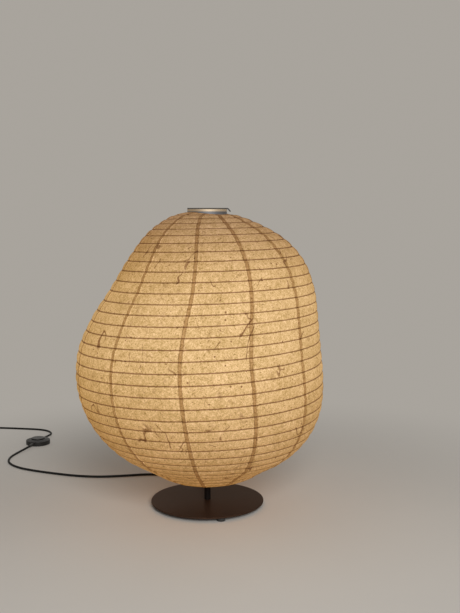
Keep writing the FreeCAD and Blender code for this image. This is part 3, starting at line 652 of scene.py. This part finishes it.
class Wall:
    """The outline that the paper follows, by the distance up from its lower edge."""

    def __init__(self, samples=24):
        knots = [Vector((radius, shift, height)) * MM for height, radius, shift in WALL_LEVELS]
        spans = [(after - before).length for before, after in zip(knots, knots[1:])]
        slopes = self.slopes_at(knots, spans)
        self.points = [knots[0]]
        for index, span in enumerate(spans):
            for sample in range(1, samples + 1):
                self.points.append(self.between(knots, slopes, span, index, sample / samples))
        self.distances = [0.0]
        for before, after in zip(self.points, self.points[1:]):
            self.distances.append(self.distances[-1] + (after - before).length)
        self.length = self.distances[-1]

    @staticmethod
    def slopes_at(knots, spans):
        """The direction at each level, weighed by the nearness of its two neighbours."""
        rates = [(after - before) / span for before, after, span in zip(knots, knots[1:], spans)]
        slopes = [rates[0] * 1.5 - rates[1] * 0.5]
        for index in range(1, len(knots) - 1):
            before, after = spans[index - 1], spans[index]
            slopes.append((rates[index - 1] * after + rates[index] * before) / (before + after))
        slopes.append(rates[-1] * 1.5 - rates[-2] * 0.5)
        return slopes

    @staticmethod
    def between(knots, slopes, span, index, share):
        """A point on the smooth line from one level to the next."""
        square = share * share
        cube = square * share
        rise = 3 * square - 2 * cube
        spots = knots[index] * (1 - rise) + knots[index + 1] * rise
        turn = slopes[index] * (cube - 2 * square + share) + slopes[index + 1] * (cube - square)
        return spots + turn * span

    def at(self, distance):
        """(point, direction) as radius, shift and height."""
        distance = min(max(distance, 0.0), self.length)
        low, high = 0, len(self.distances) - 1
        while high - low > 1:
            middle = (low + high) // 2
            if self.distances[middle] <= distance:
                low = middle
            else:
                high = middle
        span = self.distances[high] - self.distances[low]
        share = (distance - self.distances[low]) / span
        along = self.points[high] - self.points[low]
        return self.points[low] + along * share, along.normalized()

    def place(self, distance, degrees, out=0.0):
        """The point at a distance up the wall and an angle round it, pushed out from the wall."""
        point, along = self.at(distance)
        flat = math.hypot(along.x, along.z)
        radius = point.x + out * along.z / flat
        height = SHADE_BOTTOM + point.z - out * along.x / flat
        angle = math.radians(degrees)
        return Vector((radius * math.cos(angle) + point.y, radius * math.sin(angle), height))


def rib_distance(wall, turn, degrees):
    """The distance up the wall of the spiral rib, which climbs to the right over the front."""
    level = RIB_START + RIB_PITCH * turn
    inside = min(max(level / wall.length, 0.0), 1.0)
    lean = RIB_LEAN / 2 * math.sin(math.pi * inside) ** 2
    return level + lean * math.cos(math.radians(degrees))


def seam_angle(wall, index, row):
    """The angle of a seam where a row of the spiral crosses it."""
    turns, seam = divmod(index, len(SEAM_ANGLES))
    start = SEAM_ANGLES[seam] + 360 * turns
    level = RIB_START + RIB_PITCH * (row + (start - 180) / 360)
    share = min(max(level / wall.length, 0.0), 1.0)
    return start + SEAM_SWAY * math.sin(math.pi * share ** 4)


def gore_cut(wall, look, index):
    """The flat size that a gore was cut to, its lap included: (greatest width, length) and area."""
    angle = math.radians(seam_angle(wall, index + 1, 0) - seam_angle(wall, index, 0))
    levels = [wall.length * (step + 0.5) / CUT_STEPS for step in range(CUT_STEPS)]
    widths = [wall.at(level)[0].x * angle + look.lap for level in levels]
    return (max(widths), wall.length), sum(widths) / CUT_STEPS * wall.length


def panel_columns(lap):
    """(share of the panel's width, distance past the seam) for each column of points."""
    columns = [(column / PANEL_COLUMNS, 0.0) for column in range(PANEL_COLUMNS + 1)]
    return columns + [(1.0, share * lap) for share in (0.06, 0.5, 1.0)]


def build_panel(wall, look, index):
    """One gore of paper, bowed out between the ribs, with its lap over the next gore."""
    columns = panel_columns(look.lap)
    rows = [row / ROWS_PER_RIB - 1.0 for row in range((RIB_TURNS + 3) * ROWS_PER_RIB + 1)]
    mesh = bmesh.new()
    turn_layer = mesh.verts.layers.float.new("turn")
    lap_layer = mesh.verts.layers.float.new("lap")
    grid = []
    for row in rows:
        line = []
        seam = seam_angle(wall, index, row)
        width = seam_angle(wall, index + 1, row) - seam
        for share, past in columns:
            degrees = seam + width * share
            turn = (degrees - 180.0) / 360.0 + row
            distance = min(max(rib_distance(wall, turn, degrees), 0.0), wall.length)
            radius = max(wall.at(distance)[0].x, LEAST_RADIUS)
            round_to = degrees + math.degrees(past / radius)
            point = panel_point(mesh, wall, look, distance, round_to, row, past)
            point[turn_layer] = row
            point[lap_layer] = past if past else math.radians(width * (share - 1)) * radius
            line.append(point)
        grid.append(line)
    for lower, upper in zip(grid, grid[1:]):
        for left in range(len(columns) - 1):
            mesh.faces.new((lower[left], lower[left + 1], upper[left + 1], upper[left]))
    bmesh.ops.remove_doubles(mesh, verts=mesh.verts, dist=0.02 * MM)
    piece = set_out_mesh(f"paper_gore_{index + 1:02d}", mesh)
    piece.data.shade_smooth()
    piece.data.set_sharp_from_angle(angle=CREASE_ANGLE)
    solid = piece.modifiers.new("thickness", "SOLIDIFY")
    solid.thickness = look.thickness
    solid.offset = -1.0
    return piece


def panel_point(mesh, wall, look, distance, degrees, row, past):
    """A point of the paper: drawn in over a rib, bowed out between two, a little buckled.

    At the upper edge the paper has slipped down its hoop on one side.
    """
    gap = row - math.floor(row)
    near_edge = min(distance, wall.length - distance)
    spot = wall.place(distance, degrees)
    bow = 4 * gap * (1 - gap) * min(1.0, near_edge / EDGE_FADE)
    uneven = 1.0 + 0.35 * noise.noise(spot * 14.0)
    buckle = noise.noise(spot * 55.0) * BUCKLE * bow
    out = -DRAWN_IN + look.puff * bow * uneven + buckle
    if past:
        out += look.thickness + LAP_GAP
    spot = wall.place(distance, degrees, out)
    front_right = max(math.cos(math.radians(degrees - TOP_SLIP_ANGLE)), 0.0)
    spot.z -= TOP_SLIP * front_right * ease(distance, wall.length - TOP_SLIP_REACH, wall.length)
    return mesh.verts.new(spot)


# ------------------------------------------------------------------ curves and pieces
def set_out(name, data):
    """A new object in the scene."""
    piece = bpy.data.objects.new(name, data)
    bpy.context.scene.collection.objects.link(piece)
    return piece


def set_out_mesh(name, mesh):
    """A new object in the scene from a finished bmesh."""
    data = bpy.data.meshes.new(name)
    mesh.to_mesh(data)
    mesh.free()
    return set_out(name, data)


def cord_curve(name, points, diameter):
    """A round cord on a smooth spline that the points steer."""
    data = bpy.data.curves.new(name, "CURVE")
    data.dimensions = "3D"
    data.bevel_depth = diameter / 2
    data.bevel_resolution = 5
    data.resolution_u = 10
    data.use_fill_caps = True
    spline = data.splines.new("NURBS")
    spline.points.add(len(points) - 1)
    for point, place in zip(spline.points, points):
        point.co = (*place, 1.0)
    spline.order_u = 3
    spline.use_endpoint_u = True
    return set_out(name, data)


def spline_length(piece):
    """The length of a curve's own line."""
    plain = piece.data.copy()
    plain.bevel_depth = 0.0
    carrier = bpy.data.objects.new("measure", plain)
    line = bpy.data.meshes.new_from_object(carrier)
    spots = [vertex.co.copy() for vertex in line.vertices]
    total = sum((after - before).length for before, after in zip(spots, spots[1:]))
    bpy.data.objects.remove(carrier)
    bpy.data.curves.remove(plain)
    bpy.data.meshes.remove(line)
    return total


def tube_mesh(name, points, diameter):
    """A round wire along a smooth line, as a mesh."""
    guide = cord_curve(name, points, diameter)
    data = bpy.data.meshes.new_from_object(guide)
    curve = guide.data
    bpy.data.objects.remove(guide)
    bpy.data.curves.remove(curve)
    data.shade_smooth()
    return set_out(name, data)


def build_spring():
    """The switch's return spring, with closed end turns."""
    low, high = (Vector(corner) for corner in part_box("switch_spring"))
    bottom = low.z + SPRING_WIRE / 2
    rise = high.z - low.z - SPRING_WIRE
    steps = SPRING_TURNS * SPRING_STEPS
    points = []
    for step in range(steps + 1):
        angle = 2 * math.pi * SPRING_TURNS * step / steps
        around = Vector((math.cos(angle), math.sin(angle), 0))
        points.append(SWITCH_CENTRE + around * SPRING_RADIUS)
        points[-1].z = bottom + rise * ease(step / steps, SPRING_CLOSED, 1 - SPRING_CLOSED)
    return tube_mesh("return_spring", points, SPRING_WIRE)


def build_tie():
    """A soft strap with round corners about the coil's section, its free end lapped over."""
    low, high = (Vector(corner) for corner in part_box("coil_tie"))
    outward = Vector((math.cos(TIE_ANGLE), math.sin(TIE_ANGLE), 0))
    along = Vector((-outward.y, outward.x, 0))
    centre = COIL_CENTRE + outward * COIL_MIDDLE
    centre.z = (low.z + high.z) / 2
    half = (high.z - low.z) / 2 - TIE_THICKNESS
    mesh = bmesh.new()
    loops = []
    for step in range(TIE_STEPS + TIE_LAPPED):
        turn = 2 * math.pi * step / TIE_STEPS - math.pi / 4
        sides = (abs(math.cos(turn)), abs(math.sin(turn)))
        spread = sum(side ** TIE_SQUARENESS for side in sides) ** (-1 / TIE_SQUARENESS)
        lapped = TIE_THICKNESS * ease(step, TIE_STEPS - 4, TIE_STEPS + 2)
        loop = []
        for depth, side in ((0, -1), (TIE_THICKNESS, -1), (TIE_THICKNESS, 1), (0, 1)):
            reach = half * spread + depth * (1 - TIE_PROUD) + lapped * TIE_PROUD
            flat = outward * (reach * math.cos(turn)) + Vector((0, 0, reach * math.sin(turn)))
            loop.append(mesh.verts.new(centre + flat + along * (side * TIE_WIDTH / 2)))
        loops.append(loop)
    for before, after in zip(loops, loops[1:]):
        for edge in range(4):
            mesh.faces.new((before[edge], before[edge - 1], after[edge - 1], after[edge]))
    mesh.faces.new(loops[0])
    mesh.faces.new(loops[-1][::-1])
    bmesh.ops.recalc_face_normals(mesh, faces=mesh.faces)
    piece = set_out_mesh("tie_strap", mesh)
    piece.data.shade_smooth()
    rounding = piece.modifiers.new("rounding", "BEVEL")
    rounding.width = TIE_ROUNDING
    rounding.segments = 2
    return piece


def paint(finish, *names):
    """Gives CAD nodes one finish."""
    for name in names:
        mesh = nodes[name].data
        mesh.materials.clear()
        mesh.materials.append(finish)


def lamp_route():
    """The lead from the stem to the foot switch. Its own points are in mm."""
    entry = SWITCH_CENTRE - SWITCH_DIRECTION * SWITCH_REACH + Vector((0, 0, SWITCH_AXIS))
    route = [
        (0, 35.6, 29), (0, 54, 29), (-2, 78, 29.5), (-8, 106, 28), (-18, 136, 24.5), (-33, 164, 15),
        (-54, 188, 6), (-83, 210, 3), (-122, 228, 3), (-168, 232, 3), (-222, 219, 3),
        (-288, 208, 3), (-352, 217, 3), (-412, 238, 3), (-468, 262, 3), (-513, 286, 3),
        (-547, 318, 3), (-567, 355, 3), (-571, 398, 3), (-565, 430, 3), (-555, 456, 5),
    ]
    points = [Vector(point) * MM for point in route]
    return points + [entry - SWITCH_DIRECTION * SWITCH_RUN, entry]


def coil_turns():
    """The turns of the spare lead: two side by side on the floor, the rest on top of them."""
    points = []
    # The points stand a little outside the line that they steer.
    outside = math.cos(math.radians(COIL_STEP / 2)) ** 0.7
    for step in range(round((COIL_END - COIL_START) / COIL_STEP) + 1):
        degrees = COIL_START + COIL_STEP * step
        inward = ease(degrees, *COIL_IN) - ease(degrees, *COIL_OUT)
        radius = (COIL_OUTER + (COIL_INNER - COIL_OUTER) * inward) / outside
        height = CORD_LIFT + COIL_RISE * ease(degrees, *COIL_UP)
        angle = math.radians(degrees)
        spot = Vector((radius * math.cos(angle), radius * math.sin(angle), height))
        points.append(COIL_CENTRE + spot)
    return points


def wall_lead_route():
    """The lead from the foot switch through its coil to the plug. Its own points are in mm."""
    leave = SWITCH_CENTRE + SWITCH_DIRECTION * SWITCH_REACH + Vector((0, 0, SWITCH_AXIS))
    route = [
        (-507, 656, 4.4), (-511.5, 680, 3), (-523, 702, 3), (-542.5, 718, 3), (-568, 727.5, 3),
        (-604, 734, 3), (-650, 741.5, 3), (-690, 746.8, 3),
    ]
    points = [leave, leave + SWITCH_DIRECTION * SWITCH_RUN]
    points += [Vector(point) * MM for point in route]
    points.append(COIL_CENTRE + Vector((COIL_LEAD_IN, COIL_OUTER, CORD_LIFT)))
    points += coil_turns()
    tip = PLUG_RELIEF_TIP
    last = [tip + Vector((-2 * MM, 26 * MM, 1.4 * MM)), tip + Vector((0, 13 * MM, 0)), tip]
    return points + last


# ------------------------------------------------------------------ operators
class LANTERN_OT_camera(bpy.types.Operator):
    """Place the camera at the lamp's front, a little to the right"""

    bl_idname = "lantern.camera"
    bl_label = "Camera"

    def execute(self, context):
        data = bpy.data.cameras.new("camera")
        data.sensor_fit = "VERTICAL"
        data.sensor_height = 36.0
        data.lens = CAMERA_LENS
        data.shift_y = CAMERA_SHIFT
        camera = set_out("camera", data)
        camera.location = CAMERA_PLACE
        camera.rotation_euler = (math.radians(90 - CAMERA_DIP), 0, math.radians(CAMERA_TURN))
        context.scene.camera = camera
        return {"FINISHED"}


class LANTERN_OT_cords(bpy.types.Operator):
    """Lay the lead from the stem to the foot switch, and from there to the plug"""

    bl_idname = "lantern.cords"
    bl_label = "Mains lead"

    def execute(self, context):
        look = context.scene.lantern_cord
        finish = sheath_finish(look.sheath_colour[:])
        spring = build_spring()
        spring.data.materials.append(metal_finish("spring_steel", (0.62, 0.62, 0.60), 0.3))
        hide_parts("switch_spring")
        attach(spring, "stand")
        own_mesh(spring)
        lamp_lead = cord_curve("lamp_lead", lamp_route(), look.diameter)
        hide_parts("cord_lamp_to_switch")
        wall_lead = cord_curve("wall_lead", wall_lead_route(), look.diameter)
        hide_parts("cord_switch_to_coil", "cord_coil", "cord_tail")
        for lead in (lamp_lead, wall_lead):
            lead.data.materials.append(finish)
            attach(lead, "stand")
        spline_length(lamp_lead)
        tie = build_tie()
        tie.data.materials.append(strap_finish())
        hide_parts("coil_tie")
        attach(tie, "stand")
        wall_lead_route()[0]
        spline_length(wall_lead)
        return {"FINISHED"}


class LANTERN_OT_paper(bpy.types.Operator):
    """Build the twelve gores of paper"""

    bl_idname = "lantern.paper"
    bl_label = "Paper skin"

    def execute(self, context):
        look = context.scene.lantern_paper
        wall = Wall()
        finish = paper_finish(look)
        for index in range(len(SEAM_ANGLES)):
            gore = build_panel(wall, look, index)
            gore.data.materials.append(finish)
            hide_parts(f"paper_panel_{index + 1:02d}")
            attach(gore, "shade")
            flat, area = gore_cut(wall, look, index)
        return {"FINISHED"}


class LANTERN_OT_shade_frame(bpy.types.Operator):
    """Finish the ribs, the hoops and the stretcher"""

    bl_idname = "lantern.shade_frame"
    bl_label = "Ribs and stretcher"

    def execute(self, context):
        paint(bamboo_finish(), "rib_spiral")
        paint(hoop_finish(), "hoop_top", "hoop_bottom")
        paint(
            lacquer_finish(), "stretcher_upright_left", "stretcher_upright_right",
            "stretcher_top_bar", "stretcher_ring_arms", "stretcher_carrier",
        )
        return {"FINISHED"}


class LANTERN_OT_stand(bpy.types.Operator):
    """Finish the base plate, its feet and the stem"""

    bl_idname = "lantern.stand"
    bl_label = "Base and stem"

    def execute(self, context):
        look = context.scene.lantern_stand
        plate = powder_coat(
            "bronze_paint", look.plate_colour[:], roughness=0.42, metallic=0.5,
            edge=(0.50, 0.44, 0.38))
        stem = powder_coat(
            "stem_paint", look.stem_colour[:], roughness=0.36, metallic=0.2, edge=WHITE)
        paint(plate, "base_plate")
        paint(stem, "stem")
        paint(rubber_finish(), "base_feet", "switch_pads")
        paint(
            metal_finish("zinc_steel", (0.56, 0.56, 0.55), 0.35), "foot_screws", "base_washer",
            "base_nut", "threaded_nipples", "switch_screws",
        )
        paint(
            moulded_plastic("black_plastic", (0.018, 0.017, 0.016), 0.45), "stem_bushings",
            "stem_cord_relief", "holder_cap", "holder_body", "shade_nut_lower", "shade_nut_upper",
            "switch_relief_in", "switch_relief_out", "plug_body", "plug_relief",
        )
        return {"FINISHED"}


class LANTERN_OT_light_source(bpy.types.Operator):
    """Finish the lampholder's inner pieces and the lit bulb"""

    bl_idname = "lantern.light_source"
    bl_label = "Lampholder and bulb"

    def execute(self, context):
        paint(porcelain_finish(), "holder_insert")
        paint(
            metal_finish("contact_brass", (0.78, 0.62, 0.34), 0.28), "holder_screw_shell",
            "holder_contact", "bulb_cap", "bulb_contact",
        )
        paint(vitrite_finish(), "bulb_insulator")
        paint(bulb_glass_finish(), "bulb_glass")
        return {"FINISHED"}


class LANTERN_OT_foot_switch(bpy.types.Operator):
    """Finish the foot switch, the plug's pins and the wires"""

    bl_idname = "lantern.foot_switch"
    bl_label = "Foot switch and plug"

    def execute(self, context):
        shell = moulded_plastic("switch_plastic", (0.008, 0.0075, 0.007), 0.48)
        paint(shell, "switch_lower_shell", "switch_upper_shell")
        paint(moulded_plastic("button_plastic", (0.012, 0.0115, 0.011), 0.42), "switch_button")
        pale = moulded_plastic("core_insulation", (0.78, 0.77, 0.73), 0.5)
        paint(pale, "stem_wires", "switch_wires", "switch_contact_block")
        paint(metal_finish("pin_metal", (0.76, 0.72, 0.62), 0.22), "plug_pins")
        return {"FINISHED"}


class LANTERN_OT_stage(bpy.types.Operator):
    """Lay the pale floor and set the soft lamps"""

    bl_idname = "lantern.stage"
    bl_label = "Stage"

    def execute(self, context):
        look = context.scene.lantern_stage
        self.floor(look)
        self.sky(context, look)
        self.lamp("key", place=(0.6, -3.0, 1.6), power=look.key_power, size=1.6)
        self.lamp("fill", place=(2.6, -1.2, 1.5), power=look.fill_power, size=2.2)
        self.lamp("back", place=(-0.8, 2.6, 1.9), power=look.fill_power, size=2.2)
        context.scene.view_settings.view_transform = "Standard"
        return {"FINISHED"}

    def floor(self, look):
        """A floor that fades into the backdrop round the lamp."""
        mesh = bmesh.new()
        bmesh.ops.create_circle(mesh, cap_ends=True, segments=96, radius=FLOOR_RADIUS)
        floor = set_out_mesh("floor", mesh)
        material, sheet = new_finish("floor")
        place = sheet.place()
        cloud = sheet.noise(place, 1.4, 4.0, 0.6)
        colour = look.floor_colour[:]
        ground = sheet.node("ShaderNodeBsdfPrincipled", inputs={
            "Base Color": sheet.mix(cloud, shaded(colour, 0.96), shaded(colour, 1.04)),
            "Roughness": 0.7,
            "Specular IOR Level": 0.3,
        })
        backdrop = {"Color": look.backdrop_colour[:], "Strength": 1.0}
        haze = sheet.node("ShaderNodeEmission", inputs=backdrop)
        distance = sheet.node("ShaderNodeVectorMath", {"operation": "LENGTH"}, {0: place}, 1)
        away = sheet.step(distance, *FLOOR_FADE) * self.seen(sheet)
        both = sheet.node("ShaderNodeMixShader", inputs={0: away, 1: ground, 2: haze})
        sheet.node("ShaderNodeOutputMaterial", inputs={"Surface": both})
        floor.data.materials.append(material)

    def seen(self, sheet):
        """1 where it is seen directly, mirrored or through glass, and 0 where it lights things."""
        paths = [sheet.node("ShaderNodeLightPath", output=name) for name in (
            "Is Camera Ray", "Is Glossy Ray", "Is Transmission Ray")]
        return sheet.maths("MINIMUM", paths[0] + paths[1] + paths[2], 1.0)

    def sky(self, context, look):
        """Even light from all round, seen as the plain backdrop."""
        world = bpy.data.worlds.new("studio")
        world.use_nodes = True
        context.scene.world = world
        sheet = Sheet(world.node_tree)
        light = {"Color": (1.0, 0.98, 0.95), "Strength": look.sky}
        lit = sheet.node("ShaderNodeBackground", inputs=light)
        backdrop = {"Color": look.backdrop_colour[:], "Strength": 1.0}
        shown = sheet.node("ShaderNodeBackground", inputs=backdrop)
        both = sheet.node("ShaderNodeMixShader", inputs={0: self.seen(sheet), 1: lit, 2: shown})
        sheet.node("ShaderNodeOutputWorld", inputs={"Surface": both})

    def lamp(self, name, place, power, size):
        """A round soft lamp that is turned to the lantern."""
        data = bpy.data.lights.new(name, "AREA")
        data.shape = "DISK"
        data.energy = power
        data.size = size
        lamp = set_out(name, data)
        lamp.location = place
        aim = LAMP_AIM - Vector(place)
        lamp.rotation_euler = aim.to_track_quat("-Z", "Y").to_euler()


STEPS = (
    LANTERN_OT_camera,
    LANTERN_OT_cords,
    LANTERN_OT_paper,
    LANTERN_OT_shade_frame,
    LANTERN_OT_stand,
    LANTERN_OT_light_source,
    LANTERN_OT_foot_switch,
    LANTERN_OT_stage,
)


class LANTERN_PT_panel(bpy.types.Panel):
    """The lamp's building steps and settings"""

    bl_label = "Paper lantern"
    bl_idname = "LANTERN_PT_panel"
    bl_space_type = "VIEW_3D"
    bl_region_type = "UI"
    bl_category = "Lantern"

    def draw(self, context):
        for step in STEPS:
            self.layout.operator(step.bl_idname)
        for name, kind in SETTINGS.items():
            group = getattr(context.scene, name)
            for field in kind.__annotations__:
                self.layout.prop(group, field)


SETTINGS = {
    "lantern_paper": LanternPaperSettings,
    "lantern_stand": LanternStandSettings,
    "lantern_cord": LanternCordSettings,
    "lantern_stage": LanternStageSettings,
}


def register():
    """Adds the settings, the operators and the panel to Blender."""
    for kind in SETTINGS.values():
        bpy.utils.register_class(kind)
    for name, kind in SETTINGS.items():
        setattr(bpy.types.Scene, name, PointerProperty(type=kind))
    for kind in (*STEPS, LANTERN_PT_panel):
        bpy.utils.register_class(kind)


def unregister():
    """Takes them away again."""
    for kind in (LANTERN_PT_panel, *reversed(STEPS)):
        bpy.utils.unregister_class(kind)
    for name, kind in SETTINGS.items():
        delattr(bpy.types.Scene, name)
        bpy.utils.unregister_class(kind)


def main():
    """Builds the scene step by step."""
    register()
    for step in STEPS:
        group, call = step.bl_idname.split(".")
        getattr(getattr(bpy.ops, group), call)()


if __name__ == "__main__":
    main()
